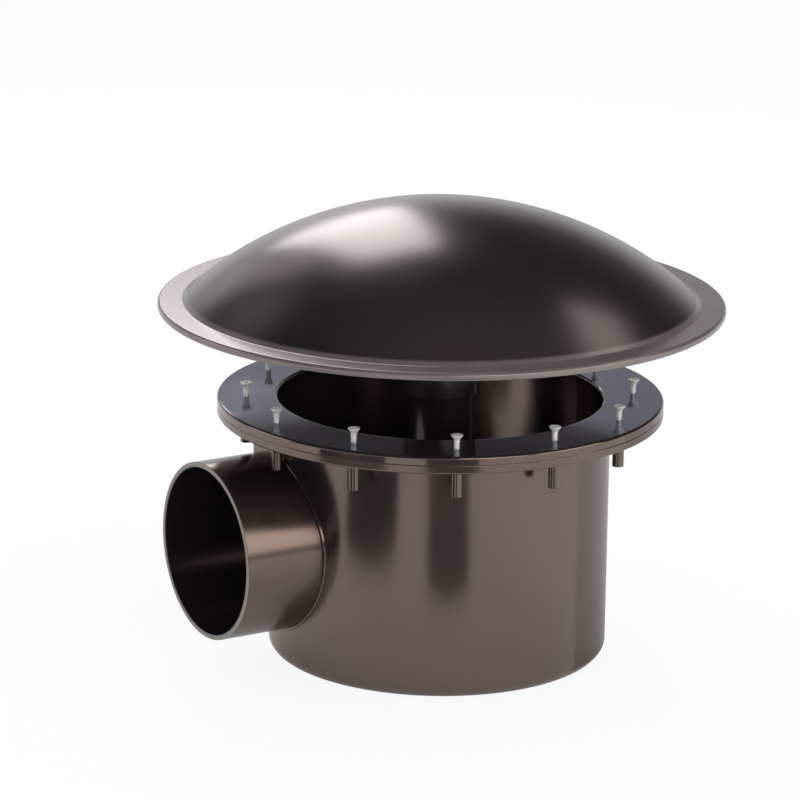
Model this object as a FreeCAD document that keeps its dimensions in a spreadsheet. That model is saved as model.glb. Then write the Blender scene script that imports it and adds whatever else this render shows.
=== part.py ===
"""Pond bottom drain: a moulded tub with a side outlet, a clamp ring screwed to its flange and a domed lid.

Frame: origin on the tub's axis at the underside of its base, +Z up, the outlet pipe along -X. Millimetres.
"""

import FreeCAD, Part
import Sketcher
import os
from enum import IntEnum

# Driving dimensions, one plain number each
SIZES = {
    # outlet pipe, and the hole with a raised lip in the tub's wall that it is cemented into
    "pipe_diameter": "110",
    "pipe_wall": "3.2",
    "pipe_exposed": "47.5",
    "pipe_taper": "0.6",
    "pipe_edge_round": "0.5",
    "outlet_sill": "22.7",
    "outlet_offset": "23",
    "cement_gap": "0.15",
    "lip_width": "1.5",
    "lip_height": "1.2",
    "lip_edge_round": "0.5",
    "web_width": "26",
    "web_depth": "6.5",
    "pipe_shoulder_gap": "0.5",
    # tub with its flange
    "tub_diameter": "211",
    "tub_wall": "4",
    "floor_thickness": "5",
    "base_edge_round": "8",
    "floor_corner_round": "5",
    "flange_width": "32.5",
    "flange_thickness": "5.3",
    # clamp ring
    "ring_lip": "0.8",
    "ring_thickness": "5.5",
    "rim_round": "1.5",
    "seam_round": "0.4",
    # screws, and the bosses under the flange
    "screw_count": "12",
    "screw_phase": "3.1",
    "screw_offset": "14.5",
    "screw_shank": "3.8",
    "screw_head": "7.2",
    "screw_head_edge": "0.5",
    "screw_head_cone": "2.4",
    "screw_point": "3",
    "screw_length": "25",
    "screw_stand": "8.7",
    "ring_hole_gap": "0.3",
    "pilot_gap": "0.1",
    "screw_tip_gap": "1.3",
    "boss_diameter": "7",
    "boss_length": "18.5",
    "boss_pipe_gap": "0.5",
    # riser column, and its seat on the tub's floor
    "column_diameter": "40",
    "column_wall": "3",
    "column_gap": "0.3",
    "column_chamfer": "1",
    "seat_wall": "4",
    "seat_height": "26",
    # domed lid with its collar
    "lid_diameter": "349",
    "lid_gap": "56",
    "lid_rim_width": "15.5",
    "lid_rim_thickness": "4.8",
    "lid_edge_round": "1.8",
    "largest_round": "0.45",
    "dome_rise": "60",
    "dome_wall": "4",
    "dome_foot_round": "2",
    "collar_wall": "2.4",
    "collar_depth": "109",
    "collar_end_thickness": "5",
    "collar_root_round": "4",
}

# Places and radii that follow from the driving dimensions
PLACES = {
    "pipe_radius": "=pipe_diameter / 2",
    "pipe_bore_radius": "=pipe_radius - pipe_wall",
    "outlet_height": "=outlet_sill + pipe_radius",
    "pipe_top": "=outlet_height + pipe_radius",
    "pipe_bore_top": "=pipe_top - pipe_wall",
    "pipe_taper_top": "=pipe_top - pipe_taper",
    "tub_radius": "=tub_diameter / 2",
    "tub_bore_radius": "=tub_radius - tub_wall",
    "flange_radius": "=tub_radius + flange_width",
    "boss_radius": "=boss_diameter / 2",
    "boss_bottom": "=pipe_top + boss_pipe_gap",
    "flange_under": "=boss_bottom + boss_length",
    "flange_top": "=flange_under + flange_thickness",
    "hole_radius": "=pipe_radius + cement_gap",
    "lip_radius": "=hole_radius + lip_width",
    "lip_reach": "=tub_radius + lip_height",
    "lip_cut_top": "=flange_under - boss_length / 2",
    "web_half_width": "=web_width / 2",
    "web_near": "=outlet_offset - web_half_width",
    "web_far": "=outlet_offset + web_half_width",
    "web_reach": "=tub_radius + web_depth",
    "web_top": "=flange_under + flange_thickness / 2",
    "pipe_shoulder": "=max(lip_reach; web_reach) + pipe_shoulder_gap",
    "mouth_reach": "=tub_radius + pipe_exposed",
    "lip_cut_edge": "=mouth_reach + lip_radius + outlet_offset",
    "ring_bore_radius": "=tub_bore_radius - ring_lip",
    "ring_top": "=flange_top + ring_thickness",
    "screw_place": "=tub_radius + screw_offset",
    "shank_edge": "=screw_place + screw_shank / 2",
    "head_edge": "=screw_place + screw_head / 2",
    "screw_top": "=ring_top + screw_stand",
    "screw_cone_top": "=screw_top - screw_head_edge",
    "screw_cone_base": "=screw_cone_top - screw_head_cone",
    "screw_tip": "=screw_top - screw_length",
    "screw_point_start": "=screw_tip + screw_point",
    "ring_hole_radius": "=screw_shank / 2 + ring_hole_gap",
    "pilot_radius": "=screw_shank / 2 + pilot_gap",
    "pilot_depth": "=flange_top - screw_tip + screw_tip_gap",
    "column_radius": "=column_diameter / 2",
    "column_bore_radius": "=column_radius - column_wall",
    "slip_radius": "=column_radius + column_gap",
    "seat_radius": "=slip_radius + seat_wall",
    "seat_root": "=floor_thickness / 2",
    "seat_top": "=floor_thickness + seat_height",
    "pipe_root": "=seat_radius + (tub_radius - seat_radius) / 4",
    "hole_length": "=mouth_reach - pipe_root",
    "lid_radius": "=lid_diameter / 2",
    "dome_base_radius": "=lid_radius - lid_rim_width",
    "lid_rim_under": "=ring_top + lid_gap",
    "lid_rim_top": "=lid_rim_under + lid_rim_thickness",
    "lid_edge_radius": "=min(lid_edge_round; lid_rim_thickness * largest_round)",
    "dome_apex": "=lid_rim_top + dome_rise",
    "dome_radius": "=(dome_base_radius ^ 2 + dome_rise ^ 2) / (2 * dome_rise)",
    "dome_centre": "=dome_apex - dome_radius",
    "dome_inner_radius": "=dome_radius - dome_wall",
    "dome_inner_apex": "=dome_apex - dome_wall",
    "dome_inner_base": "=sqrt(dome_inner_radius ^ 2 - (lid_rim_under - dome_centre) ^ 2)",
    "collar_radius": "=slip_radius + collar_wall",
    "collar_inside_dome": "=dome_apex - dome_wall / 2",
    "collar_root": "=dome_centre + sqrt(dome_inner_radius ^ 2 - collar_radius ^ 2)",
    "column_top": "=dome_inner_apex - collar_end_thickness",
    "column_length": "=column_top - floor_thickness",
    "collar_bottom": "=column_top - collar_depth",
}

# How a sketch counts: its own two axes down from minus one, the points of a line or an arc up from one
HORIZONTAL_AXIS, VERTICAL_AXIS = range(-1, -3, -1)
START, END, CENTRE = IntEnum("SketchPoint", "START END CENTRE")
ORIGIN = (HORIZONTAL_AXIS, START)
UP = FreeCAD.Vector(0, 0, 1)
SKETCH_UP = FreeCAD.Vector(0, 1, 0)
OUTWARD = FreeCAD.Vector(-1, 0, 0)
FULL_TURN = 360.0
SAME = 0.001

doc = FreeCAD.newDocument("pond_bottom_drain")
sheet = doc.addObject("Spreadsheet::Sheet", "Sizes")


def fill_sheet():
    """Writes the sizes and places to the sheet, a name and a value on each row."""
    row = 1
    for table in (SIZES, PLACES):
        for name, text in table.items():
            sheet.set("A%d" % row, name)
            sheet.set("B%d" % row, text)
            sheet.setAlias("B%d" % row, name)
            row += 1
    doc.recompute()


def value(name):
    """The sheet's number for a name; a leading minus takes the other side of the axis."""
    if name == "0":
        return 0.0
    if name.startswith("-"):
        return -float(sheet.get(name[1:]))
    return float(sheet.get(name))


def cell(name):
    """A name of the sheet as an expression, with its minus if it has one."""
    if name.startswith("-"):
        return "-Sizes." + name[1:]
    return "Sizes." + name


def new_body(name):
    body = doc.addObject("PartDesign::Body", name)
    body.Label = name
    return body


def origin_item(body, role):
    """A plane or axis of the body's own origin, such as XZ_Plane or Z_Axis."""
    return next(item for item in body.Origin.OriginFeatures if item.Role == role)


def new_sketch(body, name, plane, offset=None):
    """An empty sketch on a plane of the body's origin, or at a named distance along its normal."""
    sketch = body.newObject("Sketcher::SketchObject", name)
    sketch.AttachmentSupport = [(origin_item(body, plane), "")]
    sketch.MapMode = "FlatFace"
    if offset:
        sketch.setExpression("AttachmentOffset.Base.z", cell(offset))
    return sketch


def swing_to_screw(sketch, upright):
    """Turns a sketch about the tub's axis, which it sees as the given axis, to face the first screw."""
    sketch.AttachmentOffset.Rotation = FreeCAD.Rotation(upright, value("screw_phase"))
    sketch.setExpression("AttachmentOffset.Rotation.Angle", cell("screw_phase") + " * 1 deg")


def constrain(sketch, kind, *items):
    return sketch.addConstraint(Sketcher.Constraint(kind, *items))


def pin_point(sketch, geometry, point, across, up):
    """Holds a point of the sketch at two named distances from the sketch's origin."""
    for kind, name, axis in (("DistanceX", across, VERTICAL_AXIS), ("DistanceY", up, HORIZONTAL_AXIS)):
        if name == "0":
            constrain(sketch, "PointOnObject", geometry, point, axis)
            continue
        ends = (geometry, point, *ORIGIN) if name.startswith("-") else (*ORIGIN, geometry, point)
        index = constrain(sketch, kind, *ends, abs(value(name)))
        sketch.setExpression("Constraints[%d]" % index, cell(name.lstrip("-")))


def spot(across, up):
    return FreeCAD.Vector(value(across), value(up), 0)


def add_outline(sketch, *corners):
    """A closed outline of straight lines, each corner given as two names."""
    points = [spot(across, up) for across, up in corners]
    lines = [Part.LineSegment(a, b) for a, b in zip(points, points[1:] + points[:1])]
    first = sketch.addGeometry(lines, False)[0]
    for index, (across, up) in enumerate(corners):
        following = (index + 1) % len(lines)
        constrain(sketch, "Coincident", first + index, END, first + following, START)
        pin_point(sketch, first + index, START, across, up)


def add_circle(sketch, radius, across="0", up="0"):
    """A circle of a named radius about a named centre."""
    circle = sketch.addGeometry(Part.Circle(spot(across, up), UP, value(radius)), False)
    pin_point(sketch, circle, CENTRE, across, up)
    index = constrain(sketch, "Radius", circle, value(radius))
    sketch.setExpression("Constraints[%d]" % index, cell(radius))


def add_axis(sketch, start, end):
    """A construction line between two named corners, to turn a section about."""
    line = sketch.addGeometry(Part.LineSegment(spot(*start), spot(*end)), True)
    pin_point(sketch, line, START, *start)
    pin_point(sketch, line, END, *end)


def check_cut(feature):
    """Stops the build where a cut has missed the solid."""
    if feature.Shape.Volume > feature.BaseFeature.Shape.Volume - SAME:
        raise RuntimeError(feature.Name + " cuts nothing")


def turn(body, kind, name, sketch, axis="V_Axis"):
    """A Revolution or Groove of one whole turn about an axis of its sketch."""
    feature = body.newObject("PartDesign::" + kind, name)
    feature.Profile = sketch
    feature.ReferenceAxis = (sketch, [axis])
    feature.Angle = FULL_TURN
    doc.recompute()
    if kind == "Groove":
        check_cut(feature)
    return feature


def push(body, kind, name, sketch, length, reverse=False):
    """A Pad or Pocket of a named length."""
    feature = body.newObject("PartDesign::" + kind, name)
    feature.Profile = sketch
    feature.setExpression("Length", cell(length))
    feature.Reversed = reverse
    doc.recompute()
    if kind == "Pocket":
        check_cut(feature)
    return feature


def repeat_round_screws(body, name, original):
    """Repeats a feature at every screw of the circle."""
    pattern = body.newObject("PartDesign::PolarPattern", name)
    pattern.Originals = [original]
    pattern.Axis = (origin_item(body, "Z_Axis"), [""])
    pattern.Angle = FULL_TURN
    pattern.setExpression("Occurrences", cell("screw_count"))
    body.Tip = pattern
    doc.recompute()
    return pattern


def soften_edges(body, kind, name, base, size, edges):
    """A Fillet or Chamfer of a named size on edges of the base, given by their names."""
    feature = body.newObject("PartDesign::" + kind, name)
    feature.Base = (base, edges)
    feature.setExpression("Radius" if kind == "Fillet" else "Size", cell(size))
    doc.recompute()
    return feature


def soften(body, kind, name, base, size, circles, along=UP):
    """A Fillet or Chamfer on circular edges of the base, found by named radii and places along an axis."""
    edges = []
    for number, edge in enumerate(base.Shape.Edges, 1):
        if edge.Degenerated or not isinstance(edge.Curve, Part.Circle):
            continue
        curve = edge.Curve
        if abs(curve.Axis.dot(along)) < 1 - SAME:
            continue
        for radius, place in circles:
            off_radius = abs(curve.Radius - value(radius))
            off_place = abs(curve.Center.dot(along) - value(place))
            if off_radius < SAME and off_place < SAME:
                edges.append("Edge%d" % number)
    return soften_edges(body, kind, name, base, size, edges)


def round_faces(shape, axis, radius):
    """The cylindrical faces of a shape with a given axis and a named radius."""
    found = []
    for face in shape.Faces:
        surface = face.Surface
        if not isinstance(surface, Part.Cylinder):
            continue
        if abs(surface.Axis.dot(axis)) > 1 - SAME and abs(surface.Radius - value(radius)) < SAME:
            found.append(face)
    return found


def borders(edge, faces):
    return any(edge.isSame(item) for face in faces for item in face.Edges)


def edges_between(shape, faces, others):
    """The names of the edges where one group of a shape's faces meets another."""
    names = []
    for number, edge in enumerate(shape.Edges, 1):
        if borders(edge, faces) and borders(edge, others):
            names.append("Edge%d" % number)
    return names


def make_tub_outside(body):
    """The outside of the tub, still solid, with its flange."""
    sketch = new_sketch(body, "tub_section", "XZ_Plane")
    add_outline(
        sketch,
        ("0", "0"),
        ("tub_radius", "0"),
        ("tub_radius", "flange_under"),
        ("flange_radius", "flange_under"),
        ("flange_radius", "flange_top"),
        ("0", "flange_top"),
    )
    solid = turn(body, "Revolution", "tub_outside", sketch)
    solid = soften(body, "Fillet", "base_edge", solid, "base_edge_round", [("tub_radius", "0")])
    solid = soften(body, "Fillet", "flange_edge", solid, "rim_round", [("flange_radius", "flange_under")])
    soften(body, "Fillet", "flange_seam", solid, "seam_round", [("flange_radius", "flange_top")])


def make_outlet_lip(body):
    """The low lip that stands on the tub's wall round the outlet, and the web from there up to the flange."""
    sketch = new_sketch(body, "lip_circle", "YZ_Plane")
    add_circle(sketch, "lip_radius", "outlet_offset", "outlet_height")
    push(body, "Pad", "lip_rod", sketch, "mouth_reach", reverse=True)
    sketch = new_sketch(body, "lip_cut_section", "XZ_Plane")
    add_outline(
        sketch,
        ("lip_reach", "0"),
        ("lip_cut_edge", "0"),
        ("lip_cut_edge", "lip_cut_top"),
        ("lip_reach", "lip_cut_top"),
    )
    turn(body, "Groove", "lip_cut", sketch)

    sketch = new_sketch(body, "web_section", "YZ_Plane")
    add_outline(
        sketch,
        ("web_near", "outlet_height"),
        ("web_far", "outlet_height"),
        ("web_far", "web_top"),
        ("web_near", "web_top"),
    )
    push(body, "Pad", "web", sketch, "web_reach", reverse=True)


def make_bosses(body):
    """The round bosses that hang under the flange, one for each screw."""
    sketch = new_sketch(body, "boss_circle", "XY_Plane", "boss_bottom")
    swing_to_screw(sketch, UP)
    add_circle(sketch, "boss_radius", "screw_place", "0")
    boss = push(body, "Pad", "boss", sketch, "boss_length")
    repeat_round_screws(body, "bosses", boss)


def hollow_tub(body):
    """The inside of the tub, and the ring on its floor that the column stands in."""
    sketch = new_sketch(body, "hollow_section", "XZ_Plane")
    add_outline(
        sketch,
        ("0", "floor_thickness"),
        ("tub_bore_radius", "floor_thickness"),
        ("tub_bore_radius", "ring_top"),
        ("0", "ring_top"),
    )
    hollow = turn(body, "Groove", "tub_inside", sketch)
    corner = [("tub_bore_radius", "floor_thickness")]
    soften(body, "Fillet", "floor_corner", hollow, "floor_corner_round", corner)

    sketch = new_sketch(body, "seat_section", "XZ_Plane")
    add_outline(
        sketch,
        ("slip_radius", "seat_root"),
        ("seat_radius", "seat_root"),
        ("seat_radius", "seat_top"),
        ("slip_radius", "seat_top"),
    )
    turn(body, "Revolution", "column_seat", sketch)


def open_outlet(body):
    """The hole for the pipe, through the lip and the tub's wall, and the rounding of the lip."""
    sketch = new_sketch(body, "outlet_hole_circle", "YZ_Plane", "-mouth_reach")
    add_circle(sketch, "hole_radius", "outlet_offset", "outlet_height")
    hole = push(body, "Pocket", "outlet_hole", sketch, "hole_length", reverse=True)
    lip_side = round_faces(hole.Shape, OUTWARD, "lip_radius")
    lip_front = round_faces(hole.Shape, UP, "lip_reach")
    lip_edges = edges_between(hole.Shape, lip_side, lip_front)
    soften_edges(body, "Fillet", "lip_edge", hole, "lip_edge_round", lip_edges)


def make_sump():
    """The moulded tub with its flange, screw bosses, outlet hole and column seat."""
    body = new_body("sump")
    make_tub_outside(body)
    make_outlet_lip(body)
    make_bosses(body)
    hollow_tub(body)
    open_outlet(body)
    sketch = new_sketch(body, "pilot_circle", "XY_Plane", "flange_top")
    swing_to_screw(sketch, UP)
    add_circle(sketch, "pilot_radius", "screw_place", "0")
    pilot = push(body, "Pocket", "pilot_hole", sketch, "pilot_depth")
    repeat_round_screws(body, "pilot_holes", pilot)
    return body


def make_outlet_pipe():
    """The stub of soil pipe, slightly tapered where it goes in and cut to the curve of the tub's inside."""
    body = new_body("outlet_pipe")
    sketch = new_sketch(body, "pipe_section", "XZ_Plane", "-outlet_offset")
    add_axis(sketch, ("-pipe_root", "outlet_height"), ("-mouth_reach", "outlet_height"))
    add_outline(
        sketch,
        ("-pipe_root", "pipe_bore_top"),
        ("-mouth_reach", "pipe_bore_top"),
        ("-mouth_reach", "pipe_top"),
        ("-pipe_shoulder", "pipe_top"),
        ("-pipe_root", "pipe_taper_top"),
    )
    stub = turn(body, "Revolution", "pipe_stub", sketch, "Axis0")
    mouth = [("pipe_radius", "mouth_reach"), ("pipe_bore_radius", "mouth_reach")]
    soften(body, "Fillet", "mouth_edge", stub, "pipe_edge_round", mouth, along=OUTWARD)

    sketch = new_sketch(body, "tub_bore_circle", "XY_Plane")
    add_circle(sketch, "tub_bore_radius")
    push(body, "Pocket", "pipe_end_cut", sketch, "flange_top", reverse=True)
    return body


def make_clamp_ring():
    """The flat ring that clamps the pond liner to the flange, with its screw holes."""
    body = new_body("clamp_ring")
    sketch = new_sketch(body, "ring_circles", "XY_Plane", "flange_top")
    add_circle(sketch, "flange_radius")
    add_circle(sketch, "ring_bore_radius")
    ring = push(body, "Pad", "ring", sketch, "ring_thickness")
    top_edges = [("flange_radius", "ring_top"), ("ring_bore_radius", "ring_top")]
    ring = soften(body, "Fillet", "ring_edge", ring, "rim_round", top_edges)
    soften(body, "Fillet", "ring_seam", ring, "seam_round", [("flange_radius", "flange_top")])

    sketch = new_sketch(body, "screw_hole_circle", "XY_Plane", "ring_top")
    swing_to_screw(sketch, UP)
    add_circle(sketch, "ring_hole_radius", "screw_place", "0")
    hole = push(body, "Pocket", "screw_hole", sketch, "ring_thickness")
    repeat_round_screws(body, "screw_holes", hole)
    return body


def make_ring_screws():
    """The countersunk screws, started in their holes and standing proud of the ring."""
    body = new_body("ring_screws")
    body.AllowCompound = True
    sketch = new_sketch(body, "screw_section", "XZ_Plane")
    swing_to_screw(sketch, SKETCH_UP)
    add_axis(sketch, ("screw_place", "0"), ("screw_place", "screw_top"))
    add_outline(
        sketch,
        ("screw_place", "screw_tip"),
        ("shank_edge", "screw_point_start"),
        ("shank_edge", "screw_cone_base"),
        ("head_edge", "screw_cone_top"),
        ("head_edge", "screw_top"),
        ("screw_place", "screw_top"),
    )
    screw = turn(body, "Revolution", "screw", sketch, "Axis0")
    repeat_round_screws(body, "screws", screw)
    return body


def make_column():
    """The riser pipe that stands on the tub's floor and carries the lid."""
    body = new_body("column")
    sketch = new_sketch(body, "column_circles", "XY_Plane", "floor_thickness")
    add_circle(sketch, "column_radius")
    add_circle(sketch, "column_bore_radius")
    pipe = push(body, "Pad", "riser", sketch, "column_length")
    ends = [("column_radius", "floor_thickness"), ("column_radius", "column_top")]
    soften(body, "Chamfer", "riser_ends", pipe, "column_chamfer", ends)
    return body


def add_dome_section(sketch):
    """The half section of the lid: two concentric arcs for the dome, and the flat rim."""
    centre = spot("0", "dome_centre")
    corners = {
        "dome": ("dome_base_radius", "lid_rim_top"),
        "hollow": ("dome_inner_base", "lid_rim_under"),
        "low_edge": ("lid_radius", "lid_rim_under"),
        "high_edge": ("lid_radius", "lid_rim_top"),
    }
    arcs = []
    for corner, radius in (("dome", "dome_radius"), ("hollow", "dome_inner_radius")):
        circle = Part.Circle(centre, UP, value(radius))
        foot = circle.parameter(spot(*corners[corner]))
        apex = circle.parameter(centre + FreeCAD.Vector(0, value(radius), 0))
        arc = sketch.addGeometry(Part.ArcOfCircle(circle, foot, apex), False)
        pin_point(sketch, arc, CENTRE, "0", "dome_centre")
        pin_point(sketch, arc, START, *corners[corner])
        constrain(sketch, "PointOnObject", arc, END, VERTICAL_AXIS)
        arcs.append(arc)
    dome, hollow = arcs
    low_edge = spot(*corners["low_edge"])
    high_edge = spot(*corners["high_edge"])
    axis_line, under, edge, top = sketch.addGeometry(
        [
            Part.LineSegment(spot("0", "dome_apex"), spot("0", "dome_inner_apex")),
            Part.LineSegment(spot(*corners["hollow"]), low_edge),
            Part.LineSegment(low_edge, high_edge),
            Part.LineSegment(high_edge, spot(*corners["dome"])),
        ],
        False,
    )
    for one, one_point, other, other_point in (
        (dome, END, axis_line, START),
        (axis_line, END, hollow, END),
        (hollow, START, under, START),
        (under, END, edge, START),
        (edge, END, top, START),
        (top, END, dome, START),
    ):
        constrain(sketch, "Coincident", one, one_point, other, other_point)
    pin_point(sketch, edge, START, *corners["low_edge"])
    pin_point(sketch, edge, END, *corners["high_edge"])


def make_dome_lid():
    """The domed lid with its flat rim, and the long collar that slides on the column."""
    body = new_body("dome_lid")
    sketch = new_sketch(body, "lid_section", "XZ_Plane")
    add_dome_section(sketch)
    lid = turn(body, "Revolution", "dome", sketch)
    rim_edges = [("lid_radius", "lid_rim_under"), ("lid_radius", "lid_rim_top")]
    lid = soften(body, "Fillet", "lid_edge", lid, "lid_edge_radius", rim_edges)
    soften(body, "Fillet", "dome_foot", lid, "dome_foot_round", [("dome_base_radius", "lid_rim_top")])

    sketch = new_sketch(body, "collar_section", "XZ_Plane")
    add_outline(
        sketch,
        ("slip_radius", "collar_bottom"),
        ("collar_radius", "collar_bottom"),
        ("collar_radius", "collar_inside_dome"),
        ("0", "collar_inside_dome"),
        ("0", "column_top"),
        ("slip_radius", "column_top"),
    )
    collar = turn(body, "Revolution", "collar", sketch)
    soften(body, "Fillet", "collar_foot", collar, "collar_root_round", [("collar_radius", "collar_root")])
    return body


def check_document(solids):
    """Stops the build where an object failed, or a sub-part is not the sound solids that it should be."""
    for item in doc.Objects:
        if "Invalid" in item.State or "Error" in item.State:
            raise RuntimeError("%s failed: %s" % (item.Name, item.State))
    for body, count in solids.items():
        shape = body.Shape
        if shape.isNull() or not shape.isValid():
            raise RuntimeError(body.Label + " has no sound shape")
        if len(shape.Solids) != count:
            raise RuntimeError("%s has %d solids" % (body.Label, len(shape.Solids)))


fill_sheet()
SOLIDS = {
    make_sump(): 1,
    make_outlet_pipe(): 1,
    make_clamp_ring(): 1,
    make_ring_screws(): int(value("screw_count")),
    make_column(): 1,
    make_dome_lid(): 1,
}
doc.recompute()
check_document(SOLIDS)
os.makedirs("parts", exist_ok=True)
for sub_part in SOLIDS:
    sub_part.Shape.exportStep("parts/%s.step" % sub_part.Label)
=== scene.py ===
import math
from collections import Counter

import bmesh
import bpy
from mathutils import Matrix, Vector


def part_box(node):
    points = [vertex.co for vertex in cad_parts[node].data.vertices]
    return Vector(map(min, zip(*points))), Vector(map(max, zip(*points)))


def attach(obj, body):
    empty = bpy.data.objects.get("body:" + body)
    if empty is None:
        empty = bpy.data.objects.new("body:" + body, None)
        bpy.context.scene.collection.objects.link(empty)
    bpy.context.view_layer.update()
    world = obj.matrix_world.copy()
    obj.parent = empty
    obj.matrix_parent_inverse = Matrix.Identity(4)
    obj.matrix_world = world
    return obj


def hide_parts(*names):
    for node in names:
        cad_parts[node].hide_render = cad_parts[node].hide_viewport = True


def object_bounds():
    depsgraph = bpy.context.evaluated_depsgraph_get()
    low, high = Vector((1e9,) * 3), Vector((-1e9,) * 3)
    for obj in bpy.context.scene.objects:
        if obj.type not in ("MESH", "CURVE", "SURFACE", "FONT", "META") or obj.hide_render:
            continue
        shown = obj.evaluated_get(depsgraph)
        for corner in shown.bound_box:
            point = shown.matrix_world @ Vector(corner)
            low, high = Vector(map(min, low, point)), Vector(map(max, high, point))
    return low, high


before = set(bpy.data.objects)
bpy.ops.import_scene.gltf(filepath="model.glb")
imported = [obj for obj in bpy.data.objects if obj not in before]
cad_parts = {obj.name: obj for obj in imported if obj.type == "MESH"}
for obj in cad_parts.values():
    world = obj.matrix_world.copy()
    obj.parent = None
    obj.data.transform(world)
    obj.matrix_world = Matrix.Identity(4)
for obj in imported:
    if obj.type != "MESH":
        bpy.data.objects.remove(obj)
cad_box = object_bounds()

# Lengths are in metres, in the part's own frame. Angles are in radians, and in degrees for lamps and cards.
# The studio is laid out as the camera sees it: X to the right, Y away from the camera, Z up.

FULL_TURN = 2 * math.pi

# The camera stands in front of the drain, turned towards the side that the outlet is on.
CAMERA_AZIMUTH = math.radians(-31.8)
CAMERA_DISTANCE = 2.5
CAMERA_HEIGHT = 0.8583
CAMERA_PITCH = math.radians(15.64)
CAMERA_YAW = math.radians(-0.57)
CAMERA_ROLL = math.radians(0.74)
CAMERA_LENS = 188.8
CAMERA_SENSOR = 36.0

FROM_STUDIO = Matrix.Rotation(CAMERA_AZIMUTH, 4, "Z")

# The gloss of the black pieces: the index of refraction, and the tint of what they mirror. The tint is
# painted: it gives their reflections the warm cast of the studio's light.
WARM_GLOSS = (2.32, (1.0, 0.75, 0.64, 1))
LID_GLOSS = (2.1, (1.0, 0.86, 0.85, 1))
COLUMN_GLOSS = (1.5, (1.0, 0.90, 0.86, 1))

# The lid's flat rim begins at this radius, outside the dome's foot.
LID_RIM_RADIUS = 0.156

# Some round pieces are spun again in this many steps, from the rings of points in the solid's mesh.
# A ring has at least this many points. Fewer points at one radius and height are on a seam.
SPIN_SEGMENTS = 288
RING_POINTS = 20

# A stretch of a section that is this many times as long as its neighbour gets a point this far from that end.
HOLD_RATIO = 4
HOLD_GAP = 0.0001

# The rounded edges of the flange and of the ring on it lie outside this radius. Each gets a cover this thick.
FLANGE_EDGE_RADIUS = 0.1364
EDGE_COVER = 0.00003

# Points of a mesh that are this close are one, and edges that bend more than this angle are shaded as sharp.
WELD_DISTANCE = 1e-7
SHARP_ANGLE = math.radians(32)

# The floor is a disc. The shares say how much of its own white the camera and the mirroring surfaces see.
# The rest is its lit surface.
FLOOR_RADIUS = 14.0
FLOOR_SEGMENTS = 128
FLOOR_SHARE_SEEN = 0.9
FLOOR_SHARE_MIRRORED = 0.3

# The cards are painted shadows on the floor, which the tub's wall mirrors as its dark bands: their height
# over the floor, the wall's radius, and the steps of their curved edges.
CARD_LIFT = 0.001
TUB_RADIUS = 0.1055
CARD_STEPS = 24

# Each lamp's azimuth, elevation, distance, width, height, brightness and colour.
SOFTBOXES = {
    "key_softbox": (-13, 32.2, 1.6, 0.46, 1.04, 4.2, (1, 0.985, 0.97)),
    "left_wing": (-31, 26, 1.6, 0.3, 0.72, 0.65, (1, 0.96, 0.93)),
    "left_fill": (-52, 38, 1.8, 0.5, 0.5, 0.3, (1, 0.96, 0.93)),
    "left_softbox": (-84, 14, 2.2, 1.2, 0.7, 2.0, (1, 0.97, 0.95)),
    "right_softbox": (64, 48, 2.2, 0.8, 0.5, 1.4, (1, 0.94, 0.9)),
    "front_softbox": (112, 13.5, 1.8, 1.23, 0.86, 2.6, (1, 0.95, 0.91)),
    "camera_softbox": (153, 10, 2.6, 1.6, 0.6, 5.5, (1, 0.97, 0.94)),
}

# The screws of the ring, whose places come from the frame.
SCREW_COUNT = 12
SCREW_HEAD_RADIUS = 0.0036
SCREW_HEAD_BEVEL = 0.00022
SCREW_HEAD_EDGE = 0.0005
SCREW_HEAD_CONE = 0.0024
SCREW_CREST_RADIUS = 0.0019
SCREW_ROOT_RADIUS = 0.00138
SCREW_POINT_RADIUS = 0.00035
SCREW_POINT_LENGTH = 0.003
THREAD_PITCH = 0.0014
THREAD_RUNOUT = 0.0018
SCREW_SEGMENTS = 32
RECESS_ARM = 0.0020
RECESS_HALF_WIDTH = 0.00052
RECESS_DEPTH = 0.0017
RECESS_TAPER = 0.45
SCREW_TURN_STEP = math.radians(37)

# Where the thread's root ends and its crest starts and ends, as shares of the pitch.
THREAD_ROOT_END = 0.30
THREAD_CREST_START = 0.60
THREAD_CREST_END = 0.68


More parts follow.
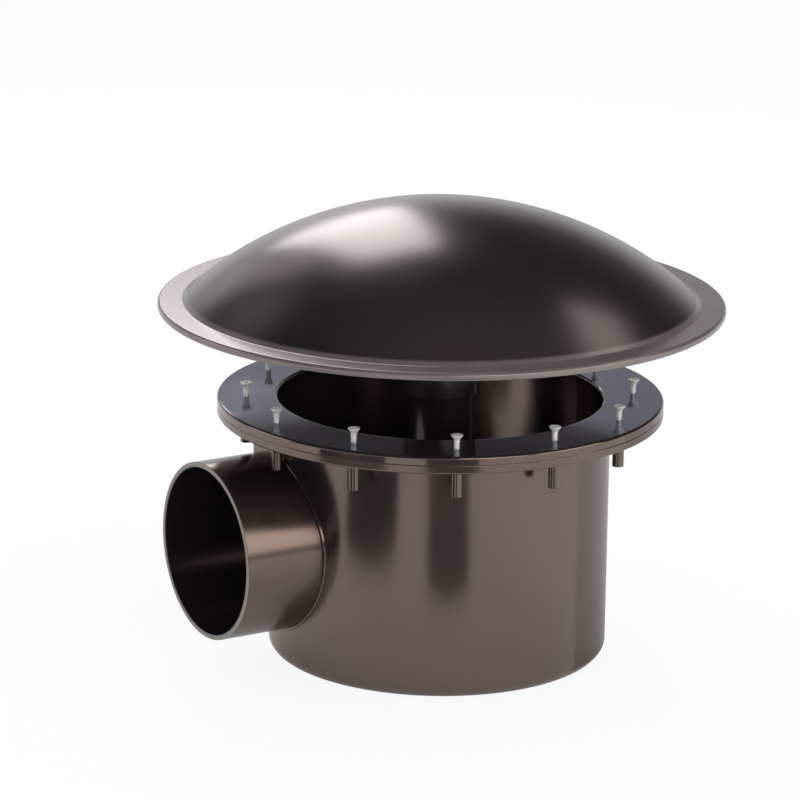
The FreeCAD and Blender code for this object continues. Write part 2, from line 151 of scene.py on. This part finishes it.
class NodeTree:
    """A short way to add nodes to a material or the world and to join them."""

    def __init__(self, owner):
        owner.use_nodes = True
        self.nodes = owner.node_tree.nodes
        self.links = owner.node_tree.links

    def add(self, kind, settings=None, inputs=None):
        node = self.nodes.new(kind)
        for name, setting in (settings or {}).items():
            setattr(node, name, setting)
        for name, entry in (inputs or {}).items():
            if isinstance(entry, bpy.types.NodeSocket):
                self.links.new(entry, node.inputs[name])
            else:
                node.inputs[name].default_value = entry
        return node

    def math(self, operation, first, second):
        node = self.add("ShaderNodeMath", {"operation": operation}, {0: first, 1: second})
        return node.outputs[0]

    def stretched(self, coordinates, scale):
        node = self.add("ShaderNodeVectorMath", {"operation": "MULTIPLY"}, {0: coordinates, 1: scale})
        return node.outputs[0]

    def noise(self, coordinates, scale, detail, roughness=0.5):
        inputs = {"Vector": coordinates, "Scale": scale, "Detail": detail, "Roughness": roughness}
        return self.add("ShaderNodeTexNoise", inputs=inputs).outputs["Fac"]

    def remap(self, source, low, high, to_low, to_high):
        inputs = {"Value": source, "From Min": low, "From Max": high, "To Min": to_low, "To Max": to_high}
        return self.add("ShaderNodeMapRange", inputs=inputs).outputs["Result"]

    def blend(self, factor, first, second):
        inputs = {"Factor": factor, 6: first, 7: second}
        return self.add("ShaderNodeMix", {"data_type": "RGBA"}, inputs).outputs[2]

    def bump(self, height, distance, normal=None):
        inputs = {"Height": height, "Distance": distance, "Strength": 1.0}
        if normal:
            inputs["Normal"] = normal
        return self.add("ShaderNodeBump", inputs=inputs).outputs["Normal"]

    def studio_rays(self, camera_share, mirror_share):
        """How much of the plain studio a ray sees: one share for the camera, one for gloss and glass."""
        path = self.add("ShaderNodeLightPath")
        mirrors = self.math("MAXIMUM", path.outputs["Is Glossy Ray"], path.outputs["Is Transmission Ray"])
        mirrors = self.math("MULTIPLY", mirrors, mirror_share)
        seen = self.math("MULTIPLY", path.outputs["Is Camera Ray"], camera_share)
        return self.math("MAXIMUM", seen, mirrors)


def black_plastic(tree, principled, coordinates, gloss):
    """The colour that every black piece shares, and a gloss given by its refraction and its tint."""
    clouds = tree.noise(coordinates, 16, 4)
    principled.inputs["IOR"].default_value = gloss[0]
    principled.inputs["Specular Tint"].default_value = gloss[1]
    return tree.blend(clouds, (0.0085, 0.0070, 0.0074, 1), (0.0130, 0.0104, 0.0106, 1))


def moulded_plastic(name, gloss, roughness, grain_depth):
    """Injection-moulded plastic: a fine grain, faint waves from cooling, handling marks and a little dust."""
    material = bpy.data.materials.new(name)
    tree = NodeTree(material)
    principled = tree.nodes["Principled BSDF"]
    coordinates = tree.add("ShaderNodeTexCoord").outputs["Object"]
    colour = black_plastic(tree, principled, coordinates, gloss)
    dust = tree.remap(tree.noise(coordinates, 900, 3), 0.45, 0.85, 0.0, 0.5)
    tree.links.new(tree.blend(dust, colour, (0.022, 0.019, 0.018, 1)), principled.inputs["Base Color"])
    patches = tree.remap(tree.noise(coordinates, 22, 5, 0.6), 0.3, 0.7, roughness - 0.02, roughness + 0.02)
    marks = tree.noise(tree.stretched(coordinates, (40, 40, 160)), 1, 4)
    marks = tree.remap(marks, 0.5, 0.8, 0.0, 0.02)
    tree.links.new(tree.math("ADD", patches, marks), principled.inputs["Roughness"])
    waves = tree.bump(tree.noise(coordinates, 11, 1), 0.00025)
    grain = tree.bump(tree.noise(coordinates, 1100, 2), grain_depth, waves)
    tree.links.new(grain, principled.inputs["Normal"])
    return material


def pale_rim_sheen_and_wear(material, radius):
    """Pales a round piece beyond a radius: painted sheen for the light its rim catches, with some handling
    wear.
    """
    tree = NodeTree(material)
    principled = tree.nodes["Principled BSDF"]
    coordinates = tree.add("ShaderNodeTexCoord").outputs["Object"]
    flat = tree.stretched(coordinates, (1, 1, 0))
    reach = tree.add("ShaderNodeVectorMath", {"operation": "LENGTH"}, {0: flat}).outputs["Value"]
    sheen_and_wear_mask = tree.remap(reach, radius - 0.0005, radius + 0.001, 0.0, 1.0)
    pale = tree.blend(tree.noise(coordinates, 60, 4), (0.08, 0.067, 0.062, 1), (0.14, 0.118, 0.11, 1))
    colour = principled.inputs["Base Color"].links[0].from_socket
    tree.links.new(tree.blend(sheen_and_wear_mask, colour, pale), principled.inputs["Base Color"])


def paint_cool_reflection_on_top(material, height):
    """Turns the warm tint of the gloss to a cool one on a piece's flat top, which is at a given height: a
    painted cool reflection of the bluish backdrop that the top mirrors.
    """
    tree = NodeTree(material)
    principled = tree.nodes["Principled BSDF"]
    coordinates = tree.add("ShaderNodeTexCoord").outputs["Object"]
    level = tree.add("ShaderNodeSeparateXYZ", inputs={0: coordinates}).outputs["Z"]
    top = tree.remap(level, height - 0.0007, height - 0.0002, 0.0, 1.0)
    warm = tuple(principled.inputs["Specular Tint"].default_value)
    tree.links.new(tree.blend(top, warm, (0.60, 0.71, 1.0, 1)), principled.inputs["Specular Tint"])


def extruded_plastic(name, gloss, roughness, along, sawn_end=None):
    """Extruded pipe: fine die lines along its length, given as the stretch of the pattern on each axis.

    A pipe that was sawn off at a given X is pale on that end.
    """
    material = bpy.data.materials.new(name)
    tree = NodeTree(material)
    principled = tree.nodes["Principled BSDF"]
    coordinates = tree.add("ShaderNodeTexCoord").outputs["Object"]
    colour = black_plastic(tree, principled, coordinates, gloss)
    if sawn_end is not None:
        across = tree.add("ShaderNodeSeparateXYZ", inputs={0: coordinates}).outputs["X"]
        sawn = tree.remap(across, sawn_end + 0.0004, sawn_end + 0.0002, 0.0, 1.0)
        strokes = tree.noise(tree.stretched(coordinates, (1, 90, 1800)), 1, 3)
        pale = tree.blend(strokes, (0.09, 0.081, 0.077, 1), (0.21, 0.192, 0.185, 1))
        colour = tree.blend(sawn, colour, pale)
    tree.links.new(colour, principled.inputs["Base Color"])
    die_lines = tree.noise(tree.stretched(coordinates, along), 1, 4, 0.6)
    streaks = tree.remap(die_lines, 0.3, 0.7, roughness - 0.04, roughness + 0.05)
    tree.links.new(streaks, principled.inputs["Roughness"])
    lines = tree.bump(die_lines, 0.000012)
    tree.links.new(tree.bump(tree.noise(coordinates, 14, 1), 0.0002, lines), principled.inputs["Normal"])
    return material


def paint_bore_shade(material, corners):
    """Takes gloss from the inside of a pipe that lies along X, given the corners of its box: painted shade
    for the dark inside of its bore.
    """
    tree = NodeTree(material)
    principled = tree.nodes["Principled BSDF"]
    coordinates = tree.add("ShaderNodeTexCoord").outputs["Object"]
    middle = (corners[0] + corners[1]) / 2
    outside = (corners[1].z - corners[0].z) / 2
    offset = tree.add("ShaderNodeVectorMath", {"operation": "SUBTRACT"}, {0: coordinates, 1: middle})
    across = tree.stretched(offset.outputs[0], (0, 1, 1))
    reach = tree.add("ShaderNodeVectorMath", {"operation": "LENGTH"}, {0: across}).outputs["Value"]
    gloss = tree.remap(reach, outside - 0.002, outside - 0.001, 0.15, 0.5)
    tree.links.new(gloss, principled.inputs["Specular IOR Level"])


def stainless_steel(name):
    """Bright, satin stainless steel with fine turning marks round each screw; its near-white colour is
    painted brightness that lifts the screws in the lid's shade.
    """
    material = bpy.data.materials.new(name)
    tree = NodeTree(material)
    principled = tree.nodes["Principled BSDF"]
    principled.inputs["Metallic"].default_value = 0.35
    coordinates = tree.add("ShaderNodeTexCoord").outputs["Object"]
    stains = tree.noise(coordinates, 420, 4)
    colour = tree.blend(stains, (0.90, 0.89, 0.88, 1), (0.97, 0.96, 0.95, 1))
    tree.links.new(colour, principled.inputs["Base Color"])
    marks = tree.noise(tree.stretched(coordinates, (700, 700, 9000)), 1, 2)
    tree.links.new(tree.remap(marks, 0.3, 0.7, 0.28, 0.42), principled.inputs["Roughness"])
    tree.links.new(tree.bump(marks, 0.000006), principled.inputs["Normal"])
    return material


def ring_of(mesh, radius, height, segments):
    """A ring of points about the Z axis."""
    points = []
    for index in range(segments):
        angle = FULL_TURN * index / segments
        points.append(mesh.verts.new((radius * math.cos(angle), radius * math.sin(angle), height)))
    return points


def join_rings(mesh, upper, lower):
    """The band of faces between two rings, facing out."""
    count = len(upper)
    for index in range(count):
        after = (index + 1) % count
        mesh.faces.new((upper[index], lower[index], lower[after], upper[after]))


def cross_of(mesh, arm, half_width, height):
    """The corners of a cross with four equal arms."""
    points = []
    for quarter in range(4):
        turn = Matrix.Rotation(FULL_TURN * quarter / 4, 3, "Z")
        for corner in ((arm, -half_width), (arm, half_width), (half_width, half_width)):
            points.append(mesh.verts.new(turn @ Vector((*corner, height))))
    return points


def loop_edges(mesh, points):
    """The edges of a closed loop of points."""
    edges = []
    for index, point in enumerate(points):
        pair = (points[index - 1], point)
        edges.append(mesh.edges.get(pair) or mesh.edges.new(pair))
    return edges


def add_screw_head(mesh):
    """A countersunk head with a cross recess, its top at the origin's height."""
    neck_height = -SCREW_HEAD_EDGE - SCREW_HEAD_CONE
    top = ring_of(mesh, SCREW_HEAD_RADIUS - SCREW_HEAD_BEVEL, 0, SCREW_SEGMENTS)
    bevel = ring_of(mesh, SCREW_HEAD_RADIUS, -SCREW_HEAD_BEVEL, SCREW_SEGMENTS)
    edge = ring_of(mesh, SCREW_HEAD_RADIUS, -SCREW_HEAD_EDGE, SCREW_SEGMENTS)
    neck = ring_of(mesh, SCREW_CREST_RADIUS, neck_height, SCREW_SEGMENTS)
    join_rings(mesh, top, bevel)
    join_rings(mesh, bevel, edge)
    join_rings(mesh, edge, neck)
    mouth = cross_of(mesh, RECESS_ARM, RECESS_HALF_WIDTH, 0)
    floor = cross_of(mesh, RECESS_ARM * RECESS_TAPER, RECESS_HALF_WIDTH * RECESS_TAPER, -RECESS_DEPTH)
    join_rings(mesh, floor, mouth)
    mesh.faces.new(floor)
    outline = loop_edges(mesh, top) + loop_edges(mesh, mouth)
    bmesh.ops.triangle_fill(mesh, edges=outline, use_beauty=True)
    return neck_height


def thread_radius(share, depth, length):
    """The thread's radius at a share of its pitch and at a depth below the head."""
    if share <= THREAD_ROOT_END:
        rise = 0.0
    elif share <= THREAD_CREST_START:
        rise = (share - THREAD_ROOT_END) / (THREAD_CREST_START - THREAD_ROOT_END)
    elif share <= THREAD_CREST_END:
        rise = 1.0
    else:
        rise = (1 - share) / (1 - THREAD_CREST_END)
    radius = SCREW_ROOT_RADIUS + rise * (SCREW_CREST_RADIUS - SCREW_ROOT_RADIUS)
    runout = max(0.0, 1 - depth / THREAD_RUNOUT)
    radius += runout * (SCREW_CREST_RADIUS - radius)
    taper = min(1.0, (length - depth) / SCREW_POINT_LENGTH)
    return SCREW_POINT_RADIUS + taper * (radius - SCREW_POINT_RADIUS)


def add_screw_thread(mesh, start_height, length):
    """The threaded shank below the head. Its rows follow the thread, so the crest is a clean line."""
    shares = (0.0, THREAD_ROOT_END, THREAD_CREST_START, THREAD_CREST_END)
    turns = math.ceil(length / THREAD_PITCH) + 2
    rows = []
    for turn in range(-1, turns):
        for share in shares:
            row = []
            for index in range(SCREW_SEGMENTS + 1):
                angle = FULL_TURN * index / SCREW_SEGMENTS
                depth = (turn + share + index / SCREW_SEGMENTS) * THREAD_PITCH
                depth = min(max(depth, 0.0), length)
                radius = thread_radius(share, depth, length)
                place = (radius * math.cos(angle), radius * math.sin(angle), start_height - depth)
                row.append(mesh.verts.new(place))
            rows.append(row)
    for upper, lower in zip(rows, rows[1:]):
        for index in range(SCREW_SEGMENTS):
            mesh.faces.new((upper[index], lower[index], lower[index + 1], upper[index + 1]))
    mesh.faces.new(ring_of(mesh, SCREW_POINT_RADIUS, start_height - length, SCREW_SEGMENTS))


def make_screw_mesh(length):
    """One screw of a given length, its head's top at the origin and its point down."""
    mesh = bmesh.new()
    neck_height = add_screw_head(mesh)
    add_screw_thread(mesh, neck_height, length + neck_height)
    bmesh.ops.remove_doubles(mesh, verts=mesh.verts, dist=WELD_DISTANCE)
    bmesh.ops.dissolve_degenerate(mesh, edges=mesh.edges, dist=WELD_DISTANCE)
    bmesh.ops.recalc_face_normals(mesh, faces=mesh.faces)
    data = bpy.data.meshes.new("screw")
    mesh.to_mesh(data)
    mesh.free()
    return data


def screw_circle():
    """The radius of the screws' circle and the turn of its first screw, from the points of the CAD screws."""
    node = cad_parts["ring_screws"]
    points = [node.matrix_world @ vertex.co for vertex in node.data.vertices]
    reaches = [math.hypot(point.x, point.y) for point in points]
    angles = [SCREW_COUNT * math.atan2(point.y, point.x) for point in points]
    turn = math.atan2(sum(map(math.sin, angles)), sum(map(math.cos, angles))) / SCREW_COUNT
    return (max(reaches) + min(reaches)) / 2, turn


def make_ring_screws():
    """The screws that stand in the ring, each turned differently, as they would be left."""
    low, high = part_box("ring_screws")
    radius, first_turn = screw_circle()
    screw = make_screw_mesh(high.z - low.z)
    together = bmesh.new()
    for index in range(SCREW_COUNT):
        place = Matrix.Rotation(first_turn + FULL_TURN * index / SCREW_COUNT, 4, "Z")
        place @= Matrix.Translation((radius, 0, high.z))
        place @= Matrix.Rotation(SCREW_TURN_STEP * index, 4, "Z")
        copy = screw.copy()
        copy.transform(place)
        together.from_mesh(copy)
        bpy.data.meshes.remove(copy)
    data = bpy.data.meshes.new("ring_screws_threaded")
    together.to_mesh(data)
    together.free()
    bpy.data.meshes.remove(screw)
    data.shade_smooth()
    data.set_sharp_from_angle(angle=SHARP_ANGLE)
    screws = bpy.data.objects.new("ring_screws_threaded", data)
    bpy.context.scene.collection.objects.link(screws)
    return screws


def turned_section(name, beyond=0.0):
    """The section of a turned piece, or of what it has beyond a radius, as radius and height from its top on.

    It comes from the rings of points in the piece's mesh.
    """
    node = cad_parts[name]
    places = []
    for vertex in node.data.vertices:
        point = node.matrix_world @ vertex.co
        places.append((round(math.hypot(point.x, point.y), 5), round(point.z, 5)))
    outside = [place for place in places if place[0] >= beyond]
    top = max(outside, key=lambda place: place[1])
    rings = {place for place, count in Counter(outside).items() if count >= RING_POINTS}
    beside = {ring: set() for ring in rings | {top}}
    for edge in node.data.edges:
        first, second = (places[index] for index in edge.vertices)
        if first != second and first in beside and second in beside:
            beside[first].add(second)
            beside[second].add(first)
    section = [top]
    onward = beside[top]
    while onward:
        section.append(min(onward, key=lambda ring: math.dist(ring, section[-1])))
        onward = beside[section[-1]].difference(section)
    return section


def hold_flats(section):
    """Adds a point near each end of a long stretch that meets a rounding, so that its shading stays even."""
    pairs = list(zip(section, section[1:]))
    lengths = [math.dist(start, end) for start, end in pairs]
    held = section[:1]
    for index, (start, end) in enumerate(pairs):
        step = (Vector(end) - Vector(start)) * HOLD_GAP / lengths[index]
        if index > 0 and lengths[index] > HOLD_RATIO * lengths[index - 1]:
            held.append(tuple(Vector(start) + step))
        if index + 1 < len(pairs) and lengths[index] > HOLD_RATIO * lengths[index + 1]:
            held.append(tuple(Vector(end) - step))
        held.append(end)
    return held


def lay_over(section, gap):
    """Moves a section outwards by a gap. The outside is on its left, going down from its top."""
    moved = []
    for index, place in enumerate(section):
        before = Vector(section[max(index - 1, 0)])
        after = Vector(section[min(index + 1, len(section) - 1)])
        along = (after - before).normalized()
        moved.append(tuple(Vector(place) + gap * Vector((-along.y, along.x))))
    return moved


def spin(name, section, closed):
    """A piece spun evenly from its section, which either closes on itself or ends in a flat disc."""
    mesh = bmesh.new()
    rings = [ring_of(mesh, radius, height, SPIN_SEGMENTS) for radius, height in section]
    for upper, lower in zip(rings, rings[1:]):
        join_rings(mesh, upper, lower)
    if closed:
        join_rings(mesh, rings[-1], rings[0])
    else:
        mesh.faces.new(rings[-1])
    bmesh.ops.remove_doubles(mesh, verts=mesh.verts, dist=WELD_DISTANCE)
    bmesh.ops.recalc_face_normals(mesh, faces=mesh.faces)
    data = bpy.data.meshes.new(name)
    mesh.to_mesh(data)
    mesh.free()
    data.shade_smooth()
    data.set_sharp_from_angle(angle=SHARP_ANGLE)
    piece = bpy.data.objects.new(name, data)
    bpy.context.scene.collection.objects.link(piece)
    return piece


def make_lid():
    """The lid, spun evenly from its own section, because the facets on the solid's edges catch the light."""
    lid = spin("dome_lid_spun", hold_flats(turned_section("dome_lid")), closed=False)
    finish = moulded_plastic("lid_plastic", LID_GLOSS, 0.24, 0.000012)
    # The lid's rim gets a painted sheen, with some wear.
    pale_rim_sheen_and_wear(finish, LID_RIM_RADIUS)
    lid.data.materials.append(finish)
    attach(lid, "lid")
    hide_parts("dome_lid")


def cover_edge(name):
    """A thin cover on the rounded outer edge of the flange or the ring, spun evenly for the same reason."""
    section = lay_over(hold_flats(turned_section(name, FLANGE_EDGE_RADIUS)), EDGE_COVER)
    cover = spin(name + "_edge", section, closed=True)
    cover.data.materials.append(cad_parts[name].material_slots[0].material)
    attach(cover, "base")


def dress_cad_nodes():
    """Gives each piece that is shown as it was made its own finish."""
    pipe_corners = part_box("outlet_pipe")
    finishes = {
        "sump": moulded_plastic("sump_plastic", WARM_GLOSS, 0.16, 0.000006),
        "clamp_ring": moulded_plastic("ring_plastic", WARM_GLOSS, 0.09, 0.000004),
        "outlet_pipe": extruded_plastic("pipe_plastic", WARM_GLOSS, 0.22, (4, 500, 500), pipe_corners[0].x),
        "column": extruded_plastic("column_plastic", COLUMN_GLOSS, 0.18, (500, 500, 4)),
    }
    # The ring's flat top gets a painted cool reflection.
    paint_cool_reflection_on_top(finishes["clamp_ring"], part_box("clamp_ring")[1].z)
    # The pipe's bore gets painted shade.
    paint_bore_shade(finishes["outlet_pipe"], pipe_corners)
    for name, finish in finishes.items():
        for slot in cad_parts[name].material_slots:
            slot.material = finish


def add_camera():
    """The camera, as it was fitted to the photograph."""
    camera = bpy.data.objects.new("camera", bpy.data.cameras.new("camera"))
    camera.data.lens = CAMERA_LENS
    camera.data.sensor_width = CAMERA_SENSOR
    place = FROM_STUDIO @ Matrix.Translation((0, -CAMERA_DISTANCE, CAMERA_HEIGHT))
    place @= Matrix.Rotation(-CAMERA_YAW, 4, "Z")
    place @= Matrix.Rotation(math.pi / 2 - CAMERA_PITCH, 4, "X")
    place @= Matrix.Rotation(CAMERA_ROLL, 4, "Z")
    camera.matrix_world = place
    bpy.context.scene.collection.objects.link(camera)
    bpy.context.scene.camera = camera


def direction(azimuth, elevation):
    """A direction in the studio. Azimuth 0 is straight behind the drain and 90 degrees is to its right."""
    level = math.cos(elevation)
    return Vector((level * math.sin(azimuth), level * math.cos(azimuth), math.sin(elevation)))


def add_softbox(name, azimuth, elevation, distance, width, height, radiance, colour):
    """A rectangular lamp that faces the drain's lid, given by the brightness of its face."""
    lamp = bpy.data.lights.new(name, "AREA")
    lamp.shape = "RECTANGLE"
    lamp.size = width
    lamp.size_y = height
    lamp.energy = radiance * math.pi * width * height
    lamp.color = colour
    softbox = bpy.data.objects.new(name, lamp)
    away = direction(math.radians(azimuth), math.radians(elevation))
    aim = Vector((0, 0, cad_box[1].z))
    turn = away.to_track_quat("Z", "Y").to_matrix().to_4x4()
    softbox.matrix_world = FROM_STUDIO @ Matrix.Translation(aim + away * distance) @ turn
    softbox.visible_camera = False
    bpy.context.scene.collection.objects.link(softbox)


def add_floor():
    """A pale floor that looks white and keeps a faint shadow."""
    mesh = bmesh.new()
    bmesh.ops.create_circle(mesh, cap_ends=True, segments=FLOOR_SEGMENTS, radius=FLOOR_RADIUS)
    data = bpy.data.meshes.new("floor")
    mesh.to_mesh(data)
    mesh.free()
    floor = bpy.data.objects.new("floor", data)
    floor.location.z = cad_box[0].z
    bpy.context.scene.collection.objects.link(floor)
    material = bpy.data.materials.new("floor_white")
    tree = NodeTree(material)
    tree.nodes.remove(tree.nodes["Principled BSDF"])
    lit = tree.add("ShaderNodeBsdfDiffuse", inputs={"Color": (0.9, 0.9, 0.9, 1)})
    white = tree.add("ShaderNodeEmission", inputs={"Color": (1, 1, 1, 1), "Strength": 1.0})
    share = tree.studio_rays(FLOOR_SHARE_SEEN, FLOOR_SHARE_MIRRORED)
    mix = tree.add("ShaderNodeMixShader", inputs={0: share, 1: lit.outputs[0], 2: white.outputs[0]})
    tree.links.new(mix.outputs[0], tree.nodes["Material Output"].inputs["Surface"])
    data.materials.append(material)


def rounded_sector(start, end, near, far, rounding):
    """The outline of a sector of the floor with a rounded near end. Angle 0 is towards the camera."""
    outline = []
    for index in range(CARD_STEPS + 1):
        across = 2 * index / CARD_STEPS - 1
        angle = math.radians(start + (end - start) * index / CARD_STEPS)
        reach = near + rounding * (1 - math.sqrt(1 - across * across))
        outline.append((math.sin(angle) * reach, -math.cos(angle) * reach, 0))
    for angle in (math.radians(end), math.radians(start)):
        outline.append((math.sin(angle) * far, -math.cos(angle) * far, 0))
    return outline


def mirrored_strip(start, end, reach):
    """The outline of the floor that the camera sees mirrored in the tub's wall between two angles."""
    near, far = [], []
    for index in range(CARD_STEPS + 1):
        angle = math.radians(start + (end - start) * index / CARD_STEPS)
        foot = Vector((math.sin(angle), -math.cos(angle), 0)) * TUB_RADIUS
        near.append(foot)
        far.append(foot + Vector((math.sin(2 * angle), -math.cos(2 * angle), 0)) * reach)
    return near + far[::-1]


def add_painted_shadow_card(name, edge, shade):
    """A card on the floor, seen only in reflections, with a given outline and shade: painted shadow on the
    floor for the tub's wall to mirror.
    """
    data = bpy.data.meshes.new(name)
    data.from_pydata(edge, [], [tuple(range(len(edge)))])
    card = bpy.data.objects.new(name, data)
    card.matrix_world = FROM_STUDIO @ Matrix.Translation((0, 0, cad_box[0].z + CARD_LIFT))
    card.visible_camera = False
    card.visible_diffuse = False
    card.visible_shadow = False
    bpy.context.scene.collection.objects.link(card)
    material = bpy.data.materials.new(name)
    principled = NodeTree(material).nodes["Principled BSDF"]
    principled.inputs["Base Color"].default_value = (shade, shade, shade, 1)
    principled.inputs["Roughness"].default_value = 0.9
    data.materials.append(material)


def add_world():
    """White behind and below, a dark room above and behind the camera, and even light for the rest."""
    world = bpy.data.worlds.new("studio")
    bpy.context.scene.world = world
    tree = NodeTree(world)
    tree.nodes.remove(tree.nodes["Background"])
    dark_side = FROM_STUDIO @ Vector((0.16, -0.33, 0.91)).normalized()
    ray = tree.add("ShaderNodeTexCoord").outputs["Generated"]
    facing = tree.add("ShaderNodeVectorMath", {"operation": "DOT_PRODUCT"}, {0: ray, 1: dark_side})
    share = tree.remap(facing.outputs["Value"], -0.5, 1.0, 0.0, 1.0)
    ramp = tree.add("ShaderNodeValToRGB", inputs={"Fac": share})
    stops = ramp.color_ramp.elements
    stops[0].position = 0.10
    stops[0].color = (1, 1, 1, 1)
    stops[1].position = 1.0
    stops[1].color = (0.17, 0.15, 0.16, 1)
    for position, colour in (
        (0.28, (0.48, 0.47, 0.51, 1)),
        (0.375, (0.08, 0.08, 0.085, 1)),
        (0.56, (0.02, 0.02, 0.02, 1)),
        (0.78, (0.02, 0.02, 0.02, 1)),
    ):
        stops.new(position).color = colour
    path = tree.add("ShaderNodeLightPath")
    seen = tree.blend(path.outputs["Is Camera Ray"], ramp.outputs["Color"], (1, 1, 1, 1))
    colour = tree.blend(tree.studio_rays(1.0, 1.0), (0.71, 0.71, 0.73, 1), seen)
    background = tree.add("ShaderNodeBackground", inputs={"Color": colour, "Strength": 1.0})
    tree.links.new(background.outputs[0], tree.nodes["World Output"].inputs["Surface"])
    world.cycles.sampling_method = "NONE"


dress_cad_nodes()
ring_screws = make_ring_screws()
ring_screws.data.materials.append(stainless_steel("screw_steel"))
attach(ring_screws, "base")
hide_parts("ring_screws")

make_lid()
cover_edge("clamp_ring")
cover_edge("sump")

add_camera()
add_world()
add_floor()
# Painted shadows of the lid on the floor, seen only mirrored in the tub's wall.
add_painted_shadow_card("painted_shadow_card_left", rounded_sector(-57, -24.5, 0.35, 0.72, 0.06), 0.01)
add_painted_shadow_card("painted_shadow_card_right", rounded_sector(-6, 18, 0.295, 1.0, 0.05), 0.12)
add_painted_shadow_card("painted_shade_card_right", mirrored_strip(54, 88, 0.62), 0.68)
for softbox_name, settings in SOFTBOXES.items():
    add_softbox(softbox_name, *settings)

bpy.context.scene.view_settings.view_transform = "Standard"
